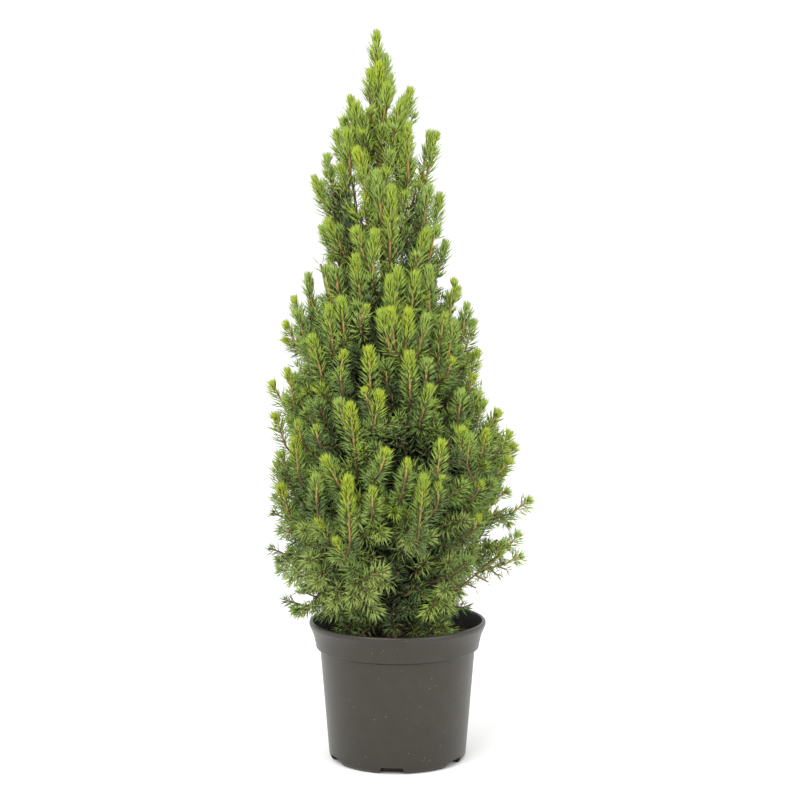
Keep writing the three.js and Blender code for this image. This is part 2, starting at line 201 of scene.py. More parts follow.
# The inside of the wall, from the growing medium up to the lip, is painted a little paler than the scuffed
# outside. This is painted light in the shaded mouth of the pot.
inside_plastic_painted_light, _ = plain_material("moulded plastic inside painted lighter", "3c3d3e", 0.45)
pot.data.materials.append(inside_plastic_painted_light)
for face in pot.data.polygons:
    outward = face.normal.x * face.center.x + face.normal.y * face.center.y
    inward = outward < -0.5 * face.center.length * face.normal.length
    if inward and 100 * MM < face.center.z < 146 * MM:
        face.material_index = 1

# The moulded grain gives the plastic its dull sheen, and is drawn 0.4 mm wide so that it shows. Scuffs are
# about 17 mm across, and a few of the 2.4 mm cells hold a speck of dust.
tree = plastic.node_tree
place = add_node(tree, "ShaderNodeTexCoord").outputs["Object"]
grain = add_node(tree, "ShaderNodeTexNoise", {"Scale": 2600, "Detail": 2, "Vector": place}).outputs["Fac"]
scuffs = add_node(tree, "ShaderNodeTexNoise", {"Scale": 60, "Detail": 6, "Roughness": 0.7, "Vector": place})
cloud = add_node(
    tree, "ShaderNodeMapRange", {"From Min": 0.35, "From Max": 0.75, "Value": scuffs.outputs["Fac"]}
)
cells = add_node(tree, "ShaderNodeTexVoronoi", {"Scale": 420, "Randomness": 1, "Vector": place}).outputs
speck = add_node(
    tree, "ShaderNodeMapRange", {"From Min": 0.16, "From Max": 0.08, "Value": cells["Distance"]}
)
picked = add_node(tree, "ShaderNodeSeparateColor", {"Color": cells["Color"]}).outputs["Red"]
rare = add_node(tree, "ShaderNodeMath", {0: picked, 1: 0.965}, operation="GREATER_THAN")
dust = add_node(tree, "ShaderNodeMath", {0: speck.outputs[0], 1: rare.outputs[0]}, operation="MULTIPLY")
worn = add_node(
    tree,
    "ShaderNodeMix",
    {"A": linear("1c1a17"), "B": linear("262421"), "Factor": cloud.outputs[0]},
    data_type="RGBA",
)
dusty = add_node(
    tree,
    "ShaderNodeMix",
    {"A": worn.outputs["Result"], "B": linear("a59c8c"), "Factor": dust.outputs[0]},
    data_type="RGBA",
)
relief = add_node(tree, "ShaderNodeBump", {"Strength": 0.25, "Distance": 0.0001, "Height": grain})
tree.links.new(dusty.outputs["Result"], plastic_shader.inputs["Base Color"])
tree.links.new(relief.outputs["Normal"], plastic_shader.inputs["Normal"])

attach(pot, "root")
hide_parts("pot")

# --------------------------------------------------------------------------------------------------
# Growing medium: damp dark peat and bark that fills the pot to a finger's width under the lip. Its top is
# uneven and crumbly, with shed needles lying on it and a little moss round the edge.
# --------------------------------------------------------------------------------------------------

soil_level = 132 * MM
soil_radius = 86.8 * MM


def soil_height(x, y):
    """The top of the growing medium: level round the trunk, then gently uneven."""
    place = Vector((x / MM, y / MM, 0))
    calm = min(1.0, math.hypot(x, y) / (30 * MM))
    uneven = 1.8 * noise.noise(place * 0.03) + 1.1 * noise.noise(place * 0.12)
    uneven += 0.7 * noise.noise(place * 0.4)
    return soil_level + uneven * calm * MM


soil_rings = 44
soil_profile = [(0, 4 * MM), (60 * MM, 4 * MM), (71 * MM, 12 * MM), (81 * MM, 117 * MM)]
soil_profile += [(83.5 * MM, 123 * MM)]
soil_profile += [(soil_radius * (1 - i / soil_rings), soil_level) for i in range(soil_rings + 1)]
peat, peat_shader = plain_material("damp peat", "2f261d", 0.95)
points, faces = turned(soil_profile, sides=120)
points = [(x, y, soil_height(x, y) if z == soil_level else z) for x, y, z in points]
soil = mesh_object("growing_medium", points, faces, peat)

# Damp peat with clods about 1.4 mm across, brown on top of them. Between them it runs to nearly black with the
# relief's height, which is painted shade in the hollows.
tree = peat.node_tree
place = add_node(tree, "ShaderNodeTexCoord").outputs["Object"]
clods = add_node(tree, "ShaderNodeTexNoise", {"Scale": 700, "Detail": 8, "Roughness": 0.7, "Vector": place})
damp_and_painted_shade = add_node(
    tree,
    "ShaderNodeMix",
    {"A": linear("1b1510"), "B": linear("4a3b2c"), "Factor": clods.outputs["Fac"]},
    data_type="RGBA",
)
relief = add_node(
    tree, "ShaderNodeBump", {"Strength": 0.8, "Distance": 0.001, "Height": clods.outputs["Fac"]}
)
tree.links.new(damp_and_painted_shade.outputs["Result"], peat_shader.inputs["Base Color"])
tree.links.new(relief.outputs["Normal"], peat_shader.inputs["Normal"])

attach(soil, "root")
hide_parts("soil")


def scatter_tree():
    """A Geometry Nodes tree that sets one shape on each point of a mesh. The shape lies along the point's own
    direction, and is rolled so that its X side faces the point's own bend."""
    tree = bpy.data.node_groups.new("set on points", "GeometryNodeTree")
    for name, kind in (("Points", "Geometry"), ("Shape", "Object"), ("Material", "Material")):
        tree.interface.new_socket(name, in_out="INPUT", socket_type=f"NodeSocket{kind}")
    tree.interface.new_socket("Pieces", in_out="OUTPUT", socket_type="NodeSocketGeometry")
    given = tree.nodes.new("NodeGroupInput").outputs
    own = {}
    for name in ("direction", "bend", "size"):
        read = add_node(tree, "GeometryNodeInputNamedAttribute", {"Name": name}, data_type="FLOAT_VECTOR")
        own[name] = read.outputs["Attribute"]
    shape = add_node(tree, "GeometryNodeObjectInfo", {"Object": given["Shape"]})
    laid = add_node(tree, "FunctionNodeAlignRotationToVector", {"Vector": own["direction"]}, axis="Z")
    rolled = add_node(
        tree,
        "FunctionNodeAlignRotationToVector",
        {"Rotation": laid.outputs["Rotation"], "Vector": own["bend"]},
        axis="X",
        pivot_axis="Z",
    )
    placing = {"Points": given["Points"], "Instance": shape.outputs["Geometry"]}
    placing |= {"Rotation": rolled.outputs["Rotation"], "Scale": own["size"]}
    placed = add_node(tree, "GeometryNodeInstanceOnPoints", placing)
    real = add_node(tree, "GeometryNodeRealizeInstances", {"Geometry": placed.outputs["Instances"]})
    finish = {"Geometry": real.outputs["Geometry"], "Material": given["Material"]}
    done = add_node(tree, "GeometryNodeSetMaterial", finish)
    tree.links.new(done.outputs["Geometry"], tree.nodes.new("NodeGroupOutput").inputs["Pieces"])
    return tree


set_on_points = scatter_tree()


def scattered(name, places, directions, bends, sizes, shape, material):
    """A plain mesh of one shape set on each place. sizes are the shape's width, width and length there."""
    thing = mesh_object(name, places, [], material)
    for attribute, values in (("direction", directions), ("bend", bends), ("size", sizes)):
        layer = thing.data.attributes.new(attribute, "FLOAT_VECTOR", "POINT")
        layer.data.foreach_set("vector", np.asarray(values, np.float32).ravel())
    modifier = thing.modifiers.new("set on points", "NODES")
    modifier.node_group = set_on_points
    items = set_on_points.interface.items_tree
    sockets = {item.name: item.identifier for item in items if item.in_out == "INPUT"}
    modifier[sockets["Shape"]] = shape
    modifier[sockets["Material"]] = material
    made_plain(thing)
    for attribute in ("direction", "bend", "size"):
        if attribute in thing.data.attributes:
            thing.data.attributes.remove(thing.data.attributes[attribute])
    thing.data.shade_smooth()
    return thing


def hidden_shape(name, points, faces):
    """A small mesh that is only there to be set on points."""
    shape = mesh_object(name, points, faces, peat)
    shape.hide_render = True
    return shape


# A crumb is a lump of twenty faces, and a needle is a slim bent spindle of six.
ball = bmesh.new()
bmesh.ops.create_icosphere(ball, subdivisions=1, radius=1)
lumps = np.random.default_rng(5).uniform(0.75, 1.25, len(ball.verts))
crumb_points = [vertex.co * lump for vertex, lump in zip(ball.verts, lumps)]
crumb_faces = [[v.index for v in f.verts] for f in ball.faces]
ball.free()
crumb_shape = hidden_shape("crumb", crumb_points, crumb_faces)
needle_ring = [(0.6 + 0.5 * math.cos(a), 0.5 * math.sin(a), 0.45) for a in np.radians([90, 210, 330])]
needle_shape = hidden_shape(
    "needle",
    [(0, 0, 0), *needle_ring, (0, 0, 1)],
    [(0, 2, 1), (0, 3, 2), (0, 1, 3), (1, 2, 4), (2, 3, 4), (3, 1, 4)],
)

rng = np.random.default_rng(11)


def soil_places(count, inner, outer):
    """Places on top of the growing medium between two distances from the pot's axis."""
    radius = np.sqrt(rng.uniform(inner**2, outer**2, count))
    angle = rng.uniform(0, 2 * math.pi, count)
    spots = np.stack([radius * np.cos(angle), radius * np.sin(angle)], 1)
    return np.array([(x, y, soil_height(x, y)) for x, y in spots])


def unit(ways):
    """The same directions, each with length one."""
    return ways / np.linalg.norm(ways, axis=-1, keepdims=True)


def any_way(count, flat=1.0):
    """Directions all round, or nearly level ones where flat is small."""
    return unit(rng.normal(size=(count, 3)) * (1, 1, flat))


count = 2600
places = soil_places(count, 10 * MM, 84 * MM)
sizes = rng.uniform(0.5, 1.0, (count, 3)) * rng.choice([1.0, 1.7, 2.8], (count, 1), p=[0.6, 0.3, 0.1]) * MM
crumbs = scattered("peat_crumbs", places, any_way(count), any_way(count), sizes, crumb_shape, peat)
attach(crumbs, "root")
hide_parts("soil")



def slim_sizes(count, thinnest, thickest, shortest, longest):
    """Random sizes in mm for shapes that are as deep as they are wide."""
    thick = rng.uniform(thinnest, thickest, count) * MM
    return np.stack([thick, thick, rng.uniform(shortest, longest, count) * MM], 1)


shed, _ = plain_material("shed needles", "7d5c38", 0.8)
count = 420
places = soil_places(count, 12 * MM, 84 * MM) + (0, 0, 0.6 * MM)
sizes = slim_sizes(count, 0.7, 1.0, 8, 12)
fallen = scattered("shed_needles", places, any_way(count, 0.25), any_way(count), sizes, needle_shape, shed)
dry, _ = plain_material("dry tuft", "a89468", 0.8)
count = 30
places = np.array((-4, -70, 135)) * MM + rng.normal(0, 1.5 * MM, (count, 3))
sizes = slim_sizes(count, 0.9, 1.1, 11, 16)
ways = any_way(count) * (0.8, 0.5, 0.3) + (-0.2, -0.1, 0.6)
clump = scattered("dry_tuft", places, ways, any_way(count), sizes, needle_shape, dry)
moss, _ = plain_material("moss", "5f6f35", 0.9)
clump_count, strands = 46, 16
clumps = soil_places(clump_count, 55 * MM, 82 * MM)
count = clump_count * strands
places = np.repeat(clumps, strands, 0) + rng.normal(0, 1.6 * MM, (count, 3)) * (1, 1, 0.2)
sizes = slim_sizes(count, 0.6, 0.9, 2, 4.5)
ways = any_way(count) * (0.6, 0.6, 0) + (0, 0, 0.9)
tufts = scattered("moss", places, ways, any_way(count), sizes, needle_shape, moss)
for thing in (fallen, clump, tufts):
    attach(thing, "root")
    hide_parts("soil")

# --------------------------------------------------------------------------------------------------
# Trunk: one leaning stem of brown wood from a flared foot on the growing medium to the leading shoot. Its
# bark is thin and flaking, in small plates that run along the stem.
# --------------------------------------------------------------------------------------------------

trunk_knots = np.array([(-5, 0, 132.3), (-6, 3, 240), (-11, -2, 420), (-17, 2, 590), (-21.5, 0, 714)]) * MM


def smooth_line(knots, steps):
    """Points of a centripetal Catmull-Rom line through the knots, evenly spaced along it."""
    ends = [2 * knots[0] - knots[1], *knots, 2 * knots[-1] - knots[-2]]
    line = []
    for p0, p1, p2, p3 in zip(ends, ends[1:], ends[2:], ends[3:]):
        d0, d1, d2 = (max(1e-6, np.linalg.norm(b - a) ** 0.5) for a, b in ((p0, p1), (p1, p2), (p2, p3)))
        start = ((p1 - p0) / d0 - (p2 - p0) / (d0 + d1) + (p2 - p1) / d1) * d1
        end = ((p2 - p1) / d1 - (p3 - p1) / (d1 + d2) + (p3 - p2) / d2) * d1
        t = np.linspace(0, 1, 100, endpoint=False)[:, None]
        squared, cubed = -3 * p1 + 3 * p2 - 2 * start - end, 2 * p1 - 2 * p2 + start + end
        line.append(p1 + start * t + squared * t**2 + cubed * t**3)
    line = np.concatenate([*line, [knots[-1]]])
    return evenly(line, steps)


def evenly(line, steps):
    """The same line as points at even distances."""
    along = np.concatenate([[0], np.cumsum(np.linalg.norm(np.diff(line, axis=0), axis=1))])
    at = np.linspace(0, along[-1], steps)
    return np.stack([np.interp(at, along, line[:, i]) for i in range(3)], 1)


def tube(line, radii, sides, relief=None):
    """Points and faces of a closed limb round a line. relief gives a point's height over the plain round."""
    tangent = unit(np.gradient(line, axis=0))
    across = unit(np.cross(tangent, (0.31, 0.95, 0.07)))
    up = np.cross(tangent, across)
    angles = np.arange(sides) * (2 * math.pi / sides)
    spokes = across[:, None] * np.cos(angles)[None, :, None] + up[:, None] * np.sin(angles)[None, :, None]
    reach = np.repeat(np.asarray(radii)[:, None], sides, 1)
    points = line[:, None] + spokes * reach[..., None]
    if relief:
        lift = np.array([[relief(p) for p in ring] for ring in points])
        points = points + spokes * (lift * np.minimum(1, reach / (4 * MM)))[..., None]
    count = len(line)
    points = np.concatenate([points.reshape(-1, 3), line[:1], line[-1:]])
    foot, tip = count * sides, count * sides + 1
    faces = []
    for side in range(sides):
        after = (side + 1) % sides
        faces.append((foot, after, side))
        faces.append((tip, (count - 1) * sides + side, (count - 1) * sides + after))
        for ring in range(count - 1):
            low, high = ring * sides, (ring + 1) * sides
            faces.append((low + side, low + after, high + after, high + side))
    return points, faces


def bark_relief(point):
    """Height of the bark at a place: long plates with fine cracks between them."""
    place = Vector(point) / MM
    plates = noise.noise(Vector((place.x * 0.55, place.y * 0.55, place.z * 0.16)))
    flakes = noise.noise(place * 1.3)
    return (0.55 * abs(plates) + 0.22 * flakes) * MM


def bark_material(name, light, dark, scale):
    """Dull bark in two browns, with a grain of 1000 / scale mm, drawn out along the stem, over the relief."""
    material, shader = plain_material(name, light, 0.85)
    tree = material.node_tree
    place = add_node(tree, "ShaderNodeTexCoord").outputs["Object"]
    stretched = add_node(tree, "ShaderNodeMapping", {"Scale": (1, 1, 0.3), "Vector": place}).outputs["Vector"]
    grain = add_node(
        tree, "ShaderNodeTexNoise", {"Scale": scale, "Detail": 6, "Roughness": 0.65, "Vector": stretched}
    ).outputs["Fac"]
    spread = add_node(tree, "ShaderNodeMapRange", {"From Min": 0.35, "From Max": 0.65, "Value": grain})
    browns = {"A": linear(dark), "B": linear(light), "Factor": spread.outputs[0]}
    colour = add_node(tree, "ShaderNodeMix", browns, data_type="RGBA")
    relief = add_node(tree, "ShaderNodeBump", {"Strength": 0.5, "Distance": 0.0004, "Height": grain})
    tree.links.new(colour.outputs["Result"], shader.inputs["Base Color"])
    tree.links.new(relief.outputs["Normal"], shader.inputs["Normal"])
    return material


def joined(parts):
    """Several lots of points and faces as one."""
    points, faces = [], []
    for some_points, some_faces in parts:
        faces += [tuple(i + len(points) for i in face) for face in some_faces]
        points += [tuple(p) for p in some_points]
    return points, faces


bark = bark_material("bark", "a57a52", "5c432f", 420)
trunk_steps = 400
trunk_length, flare_length = 581.7, 12  # mm
trunk_line = smooth_line(trunk_knots, trunk_steps)
trunk_share = np.linspace(0, 1, trunk_steps)
flare = 3.5 * np.exp(-trunk_share * trunk_length / flare_length)
trunk_radius = (1.7 + 6.3 * (1 - trunk_share) + flare) * MM
trunk = mesh_object("trunk_bark", *tube(trunk_line, trunk_radius, sides=24, relief=bark_relief), bark)
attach(trunk, "root")
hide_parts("trunk")

# --------------------------------------------------------------------------------------------------
# Limbs: whorl over whorl of boughs that leave the trunk, bow outward and turn up to the light. They have
# the trunk's bark, thinner and redder. Each one runs on from its bare inner part through its foliage.
# --------------------------------------------------------------------------------------------------

# Each whorl: number of limbs, azimuth of the first in degrees, then foot, rise, reach, sag and shift towards
# +X in mm.
tiers = {
    "skirt": (5, 30, 158, 16, 82, 4, -6),
    "lower": (6, 0, 190, 42, 112, 8, 12),
    "middle": (6, 12, 232, 78, 116, 12, 8),
    "upper": (5, 22, 296, 86, 108, 16, -10),
    "shoulder": (5, 8, 372, 90, 95, 16, -14),
    "spire": (4, 40, 450, 84, 72, 12, -12),
    "crest": (4, 0, 534, 76, 52, 10, -14),
    "tip": (4, 20, 616, 64, 36, 6, -1),
}
bough_radius = {"lower": 3.4, "middle": 3.2, "upper": 2.9}
other_radius = 2.2
limb_steps = 40
limb_taper = 0.62


def numbers(seed):
    """Numbers from 0 to 1 that are the same on every run."""
    state = ((seed + 1) * 2654435761) & 0xFFFFFFFF
    while True:
        state = (state * 1664525 + 1013904223) & 0xFFFFFFFF
        yield state / 4294967296


def curved(start, middle, end, steps):
    """An evenly spaced line from start to end that bends towards middle."""
    t = np.linspace(0, 1, 60)[:, None]
    return evenly(start * (1 - t) ** 2 + 2 * middle * t * (1 - t) + end * t**2, steps)


limbs = []
for tier_index, (tier, (count, first_turn, foot, rise, reach, sag, shift)) in enumerate(tiers.items()):
    for place_in_whorl in range(count):
        number = numbers(100 * (tier_index + 1) + place_in_whorl)
        azimuth = math.radians(first_turn + 360 * place_in_whorl / count + 16 * (next(number) - 0.5))
        outward = np.array((math.cos(azimuth), math.sin(azimuth), 0))
        height = (foot + 14 * (next(number) - 0.5)) * MM
        start = np.array([np.interp(height, trunk_line[:, 2], trunk_line[:, i]) for i in range(3)])
        this_reach = reach * (1 + 0.1 * (2 * next(number) - 1)) * MM
        this_rise = rise * (1 + 0.12 * (2 * next(number) - 1)) * MM
        end = start + outward * this_reach + (shift * MM, 0, this_rise)
        middle = (start + end) / 2 + outward * 0.2 * this_reach - (0, 0, sag * MM)
        name = f"{tier}_{place_in_whorl + 1}"
        line = curved(start, middle, end, limb_steps)
        radii = bough_radius.get(tier, other_radius) * MM * (1 - limb_taper * np.linspace(0, 1, limb_steps))
        limbs.append({"name": name, "tier": tier, "line": line, "radii": radii})

limb_bark = bark_material("limb bark", "7a5e40", "493925", 700)
parts = [tube(limb["line"], limb["radii"], sides=9, relief=bark_relief) for limb in limbs]
boughs = mesh_object("bough_bark", *joined(parts), limb_bark)
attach(boughs, "root")
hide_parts(*[f"bough_{limb['name']}" for limb in limbs if limb["tier"] in bough_radius])

# --------------------------------------------------------------------------------------------------
# Twigs: side shoots that grow on from the limbs, and finer ones from those, out to the crown's surface.
# Old twigs are bare red-brown wood near the limb, and this year's upright shoots have a tan stem.
# --------------------------------------------------------------------------------------------------

# The outline of the crown's body from the front: height, left edge and right edge in mm.
outline = [
    (150, -100, 70), (165, -112, 82), (176, -122, 84), (193, -130, 90), (204, -134, 94),
    (225, -136, 96), (240, -136, 98), (258, -136, 104), (273, -136, 114), (300, -136, 126),
    (333, -134, 132), (355, -132, 127), (375, -132, 112), (400, -133, 98), (420, -128, 94),
    (445, -121, 89), (475, -118, 84), (500, -107, 76), (526, -95, 62), (557, -86, 54), (585, -84, 49),
    (606, -88, 44), (622, -88, 40), (646, -78, 36), (670, -66, 32), (690, -57, 20), (706, -48, 12),
    (725, -34, 2), (745, -32, -10), (757, -30, -14), (775, -26, -18),
]  # fmt: skip
outline = np.array(outline) * MM

# This year's shoots on the front of the crown, by their look: place across and height of the tip, then of the
# foot, in mm. A candle ends in a bright brush, a tuft in a small one, and a green shoot has no bright end.
young_shoots = {
    "candle": [
        (-22, 775, -21, 718), (-19, 743, -19, 690), (-29, 735, -26, 690), (-10, 721, -15, 677),
        (14, 717, 6, 674), (8, 709, 0, 666), (3, 703, -5, 652), (-50, 708, -44, 668),
        (-42, 705, -40, 660), (-53, 673, -49, 627), (-65, 673, -55, 628), (-43, 652, -30, 599),
        (12, 678, 11, 623), (42, 671, 30, 619), (-88, 625, -71, 575), (-6, 614, -8, 538),
        (45, 607, 38, 559), (-75, 579, -55, 541), (-44, 571, -34, 538), (-23, 569, -25, 513),
        (32, 570, 17, 523), (-44, 543, -37, 493), (1, 530, -1, 493), (-9, 522, -3, 464),
        (19, 526, 14, 483), (59, 517, 54, 473), (-110, 498, -101, 461), (-119, 472, -108, 445),
        (-58, 500, -54, 459), (-71, 492, -66, 446), (-17, 488, -7, 443), (-7, 490, -3, 450),
        (12, 489, 7, 432), (-89, 461, -77, 414), (-29, 451, -27, 403), (12, 446, 13, 398),
        (85, 443, 75, 404), (-115, 424, -108, 385), (-135, 408, -121, 380), (-17, 407, -24, 367),
        (34, 412, 23, 372), (90, 392, 83, 365), (-48, 395, -43, 342), (-132, 374, -121, 341),
        (-106, 356, -102, 317), (-9, 350, -17, 327), (-75, 340, -59, 309), (-128, 325, -124, 294),
        (45, 358, 40, 319), (66, 369, 63, 335), (-50, 323, -48, 253), (27, 324, 22, 266),
        (-124, 304, -114, 271), (109, 377, 95, 352), (121, 356, 106, 332), (127, 341, 113, 320),
        (120, 330, 105, 312),
    ],
    "green": [
        (-12, 751, -17, 703), (-7, 729, -13, 684), (-58, 684, -48, 645), (35, 672, 26, 622),
        (-74, 647, -67, 598), (-22, 629, -16, 579), (34, 615, 27, 572), (-81, 572, -64, 537),
        (42, 573, 32, 533), (52, 557, 41, 518), (-77, 532, -68, 492), (-95, 523, -89, 474),
        (32, 532, 33, 482), (-107, 484, -97, 454), (31, 483, 21, 442), (72, 492, 69, 460),
        (59, 475, 52, 435), (81, 474, 72, 438), (30, 438, 29, 415), (66, 405, 63, 378),
        (84, 401, 78, 371), (-60, 398, -51, 362), (-124, 337, -117, 316), (-82, 322, -82, 290),
        (74, 362, 71, 331), (-65, 534, -61, 505),
    ],
    "tuft": [
        (-125, 454, -102, 438), (-29, 494, -36, 477), (50, 485, 44, 456), (-53, 448, -57, 427),
        (-58, 431, -57, 413), (59, 439, 53, 423), (-34, 411, -30, 394), (82, 420, 74, 398),
        (-104, 375, -99, 351), (-84, 372, -81, 355), (11, 341, 8, 319), (41, 317, 41, 296),
        (46, 324, 44, 314), (-25, 314, -25, 290), (-84, 277, -67, 248), (-65, 259, -51, 229),
        (93, 366, 86, 334), (88, 314, 81, 299), (85, 278, 79, 260),
    ],
}  # fmt: skip

# Low branches that stand well out of the body, by the tone at the tip: place of the tip, then of the foot, in
# mm. A bare one shows its brown stem between few needles.
low_branches = {
    "tip": [
        (141, -4, 279, 122, -8, 266), (117, -4, 288, 101, -10, 280), (112, -30, 237, 109, -34, 226),
    ],
    "fresh": [
        (119, -8, 254, 113, -8, 263), (128, -22, 245, 117, -30, 233), (131, -24, 222, 113, -32, 215),
        (108, -36, 240, 102, -40, 221), (95, -22, 234, 88, -22, 207),
    ],
    "mid": [
        (122, -8, 266, 94, -16, 258), (94, -16, 258, 60, -40, 247), (101, -10, 280, 81, -24, 267),
        (106, -12, 293, 99, -10, 280), (-126, -10, 204, -106, -14, 206),
        (-108, -26, 163, -84, -30, 170), (-129, 4, 212, -114, 0, 212), (-130, -4, 283, -117, -8, 269),
        (-126, -8, 248, -110, -16, 245), (-110, -22, 163, -94, -24, 170), (52, -64, 149, 38, -46, 156),
    ],
    "dark": [
        (-134, 2, 265, -114, -4, 257), (-137, 4, 226, -114, -2, 218), (-121, -14, 173, -95, -22, 168),
        (61, -56, 147, 42, -48, 152), (46, -70, 142, 34, -50, 150), (24, -74, 141, 16, -52, 150),
        (-62, -58, 147, -46, -46, 156), (-42, -70, 143, -30, -52, 152), (76, -28, 168, 58, -34, 170),
    ],
    "bare": [
        (117, -30, 233, 98, -44, 220), (98, -44, 220, 65, -64, 196), (113, -32, 215, 97, -42, 213),
        (117, -34, 209, 106, -38, 214), (108, -40, 203, 94, -46, 215), (97, -46, 198, 82, -54, 207),
        (84, -52, 193, 71, -60, 200),
    ],
}  # fmt: skip

# Loose sprays low on the front, light against the dark inside: place across and height of the tip in mm, and
# direction.
low_sprays = [
    (-9, 225, 0.75, -0.5, 0.4), (-22, 192, 0.6, -0.6, -0.45), (-17, 174, 0.6, -0.6, -0.5),
    (28, 169, -0.4, -0.7, -0.5), (45, 198, -0.3, -0.8, 0.1), (56, 227, 0.2, -0.8, 0.3),
    (12, 249, 0.1, -0.9, -0.4), (-13, 257, 0.3, -0.8, -0.3), (39, 259, 0.75, -0.5, 0.4),
    (-93, 229, -0.3, -0.9, 0.1), (-116, 202, -0.7, -0.6, -0.1), (-83, 205, -0.2, -0.9, -0.2),
    (-64, 236, -0.3, -0.8, 0.1), (-48, 187, -0.2, -0.8, -0.5), (67, 184, 0.5, -0.7, -0.4),
    (75, 211, 0.5, -0.8, 0.1), (-80, 262, -0.2, -0.9, 0.2), (-37, 276, 0.3, -0.9, 0),
    (72, 271, 0.5, -0.7, 0.2), (-99, 259, -0.5, -0.8, 0.1), (-68, 180, -0.4, -0.7, -0.5),
    (52, 172, 0.3, -0.7, -0.6), (84, 231, 0.8, -0.5, 0.2), (92, 213, 0.9, -0.4, -0.1),
    (84, 246, 0.7, -0.7, 0.3),
]  # fmt: skip

# Openings on the front of the crown, where its dark inside shows: place across, height and radius in mm.
openings = [
    (-18, 262, 11), (8, 182, 16), (-30, 447, 12), (-4, 216, 15), (20, 342, 17), (22, 330, 12),
    (-12, 412, 10), (-8, 302, 15), (-10, 345, 13), (-8, 378, 10), (-32, 230, 14), (38, 375, 13),
    (-52, 396, 11), (12, 248, 16), (-70, 336, 12), (-46, 420, 12), (45, 403, 14), (33, 440, 15),
    (-38, 294, 9), (55, 309, 14), (-78, 272, 16), (-60, 208, 14), (-82, 372, 16), (-52, 178, 15),
    (36, 268, 14), (10, 543, 13), (-24, 495, 9), (-50, 548, 10), (-15, 523, 12), (4, 500, 10),
    (-66, 430, 12), (-21, 668, 8), (-21, 655, 8), (-21, 642, 8),
]  # fmt: skip

# Places where painted shade lies between the young shoots, where the needles take the near-black dark tone. In
# the same measures.
painted_shade_places = [
    (-58, 604, 13), (-52, 578, 9), (-66, 590, 8), (20, 594, 8), (14, 565, 11), (-37, 690, 4),
    (-35, 663, 5), (-35, 503, 10), (-52, 575, 10), (16, 540, 12), (8, 466, 9), (-16, 405, 12),
    (40, 420, 12), (-34, 470, 12), (-19, 256, 10), (-20, 229, 9), (14, 226, 9), (12, 206, 12),
    (8, 186, 12), (50, 340, 12), (-76, 345, 9), (-62, 186, 9), (-94, 356, 7), (-10, 226, 10),
    (7, 218, 11), (13, 201, 12), (15, 183, 12), (5, 170, 12), (-10, 165, 9), (-6, 149, 14),
    (-27, 135, 14), (11, 132, 14), (46, 150, 14), (67, 151, 10), (-57, 140, 12),
]  # fmt: skip

# Gaps through which the sky shows from the front, in the same measures.
sky_gaps = [
    (103, 271, 4), (111, 273, 5), (119, 276, 5), (128, 280, 4), (22, 672, 8), (23, 660, 7),
    (22, 648, 4), (-84, 517, 7), (-82, 505, 7), (-4, 697, 3), (-1, 704, 4), (3, 712, 6), (106, 242, 8),
    (-107, 171, 5), (-97, 173, 5), (-88, 176, 4), (45, 513, 6), (53, 508, 6), (-40, 706, 5),
    (-34, 698, 5), (-124, 403, 6), (94, 188, 4), (103, 190, 4), (65, 488, 5), (-101, 494, 5),
    (-43, 600, 5), (47, 492, 4), (-110, 420, 4), (-46, 613, 4), (98, 377, 4), (75, 182, 4),
    (42, 556, 4), (-12, 754, 3), (-81, 623, 3), (-124, 228, 4), (-64, 532, 4), (-8, 690, 3),
    (-112, 471, 3), (-14, 762, 3), (-48, 629, 4), (119, 219, 3), (-67, 639, 3), (115, 203, 4),
    (86, 183, 3), (14, 684, 3), (-37, 577, 4), (130, 266, 3), (44, 659, 2), (-132, 259, 2),
    (62, 477, 3), (125, 207, 2), (-54, 698, 2), (-42, 589, 3), (-82, 532, 5), (92, 399, 5),
]  # fmt: skip


def crown_at(height):
    """The crown's middle and half-width at a height."""
    left, right = (np.interp(height, outline[:, 0], outline[:, i]) for i in (1, 2))
    return (left + right) / 2, (right - left) / 2


def share_out(point):
    """How far out a point is, from 0 on the crown's middle line to 1 on its surface."""
    middle, half = crown_at(point[2])
    return math.hypot((point[0] - middle) / half, point[1] / half)


def surface_point(azimuth, height, depth):
    """A point at an azimuth and height, at a share of the crown's half-width there."""
    middle, half = crown_at(height)
    across, back = math.cos(azimuth), math.sin(azimuth)
    lumps = 1 + 0.07 * abs(back) * noise.noise((3 * across, 3 * back, height * 11))
    reach = depth * lumps * half
    return np.array((middle + reach * across, reach * back, height))


def on_front(across, height, depth):
    """A point on the crown's front at a share of its half-width, from place across and height in mm."""
    middle, half = crown_at(height * MM)
    half *= depth
    aside = min(1.0, abs(across * MM - middle) / half)
    return np.array((across * MM, -half * math.sqrt(1 - aside**2), height * MM))


view_place = np.array((2.7, -1880, 550)) * MM


def seen_at(points):
    """Where the lines of sight from the front through the points meet the upright plane of the axis."""
    nearness = view_place[1] / (view_place[1] - points[..., 1])
    return view_place[[0, 2]] + (points[..., [0, 2]] - view_place[[0, 2]]) * nearness[..., None]


def within(points, rounds, more=0.0, share=1.0):
    """Which points are seen within any of the rounds (place across, height and radius in mm)."""
    rounds = np.array(rounds) * MM
    apart = np.linalg.norm(seen_at(points)[..., None, :] - rounds[:, :2], axis=-1)
    return np.any(apart < rounds[:, 2] * share + more * MM, axis=-1)


def is_open(point):
    """Whether a point lies in a gap of the crown: those listed in front, and scattered ones elsewhere."""
    if within(point, sky_gaps, 1):
        return True
    if point[1] < -0.3 * crown_at(point[2])[1]:
        return within(point, openings)
    return noise.noise(Vector(point) * 28) > 0.3


